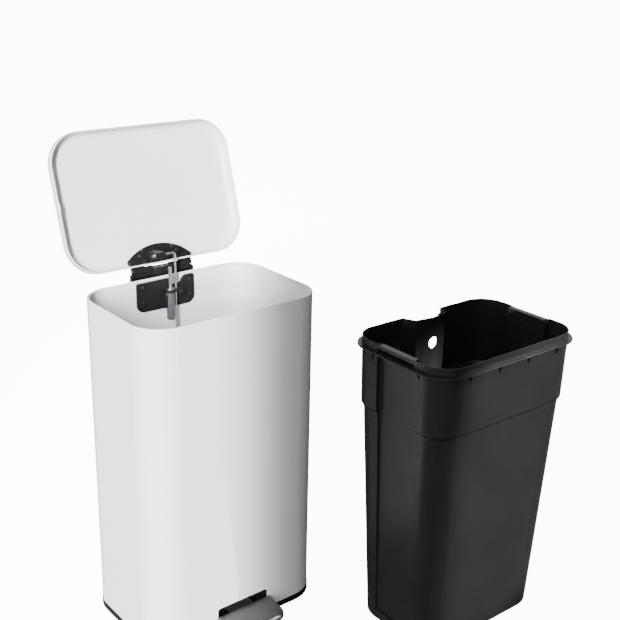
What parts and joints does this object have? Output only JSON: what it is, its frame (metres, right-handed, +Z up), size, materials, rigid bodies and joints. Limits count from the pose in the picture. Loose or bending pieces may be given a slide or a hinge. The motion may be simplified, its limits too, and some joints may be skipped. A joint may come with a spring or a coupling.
{
  "type": "pedal trash can",
  "caption": "Step-on trash can: straight white steel body, hinged pan lid with rod and damper, grey pedal, and a tapered black lift-out bucket beside it.",
  "frame": {"origin": "centre of the can's base, on the floor", "axes": "+Z up; the front with the pedal faces -Y; +X is to the right when facing the front"},
  "size_m": [0.757, 0.692, 0.9399],
  "materials": {
    "white_paint": "satin white powder coat on sheet steel",
    "black_plastic": "fine-grained black moulded plastic",
    "bucket_plastic": "satin black moulded polypropylene",
    "satin_steel": "satin grey steel",
    "bright_steel": "bright plated steel",
    "zinc_steel": "zinc-plated steel",
    "grey_plastic": "matte grey moulded plastic",
    "rubber": "matte black rubber",
    "soft_white": "translucent white silicone",
    "black_steel": "black-coated steel"
  },
  "bodies": {
    "can": {"body_shell": "white_paint", "base_tray": "black_plastic", "base_feet": "rubber", "base_screws": "zinc_steel", "slot_frame": "black_plastic", "hinge_plate": "black_plastic", "hinge_housing": "black_plastic", "hinge_rivets": "black_steel", "hinge_pin": "bright_steel", "rod_guide": "black_plastic", "damper_holder": "black_plastic", "damper_cylinder": "grey_plastic", "damper_cap": "grey_plastic", "damper_gland": "black_plastic", "damper_ring": "bright_steel", "bearing_blocks": "black_plastic", "block_screws": "zinc_steel", "lever_axle": "zinc_steel", "axle_clips": "zinc_steel", "lever_bumper": "rubber"},
    "lid": {"lid_pan": "white_paint", "lid_doubler": "white_paint", "lid_bracket": "black_plastic", "bracket_screws": "black_steel", "lid_bumpers": "soft_white"},
    "rod": {"lift_rod": "bright_steel", "rod_clips": "bright_steel"},
    "pedal": {"pedal_lever": "black_steel", "pedal_cap": "satin_steel", "pedal_pad": "black_plastic", "pedal_screws": "zinc_steel"},
    "piston": {"damper_rod": "bright_steel"},
    "bucket": {"bucket": "bucket_plastic"}
  },
  "joints": [
    {"name": "lid_hinge", "type": "hinge", "parent": "can", "child": "lid", "pos_m": [0, 0.1424, 0.672], "axis": [1, 0, 0], "range_deg": [0, 107.3]},
    {"name": "rod_swing", "type": "hinge", "parent": "lid", "child": "rod", "pos_m": [0, 0.1166, 0.7039], "axis": [1, 0, 0], "range_deg": [-107.4, 0]},
    {"name": "pedal_rock", "type": "hinge", "parent": "can", "child": "pedal", "pos_m": [0, -0.097, 0.038], "axis": [1, 0, 0], "range_deg": [-17.48, 0]},
    {"name": "damper_slide", "type": "slide", "parent": "can", "child": "piston", "axis": [0, 0, 1], "range_m": [-0.0431, 0]},
    {"name": "bucket_lift", "type": "slide", "parent": "can", "child": "bucket", "axis": [0, 0, 1], "range_m": [0, 0.7]}
  ],
  "couplings": [
    {"joint": "rod_swing", "follows": "lid_hinge", "ratio": -1},
    {"joint": "pedal_rock", "follows": "lid_hinge", "ratio": -0.16248},
    {"joint": "damper_slide", "follows": "lid_hinge", "m_per_rad": -0.022961}
  ]
}
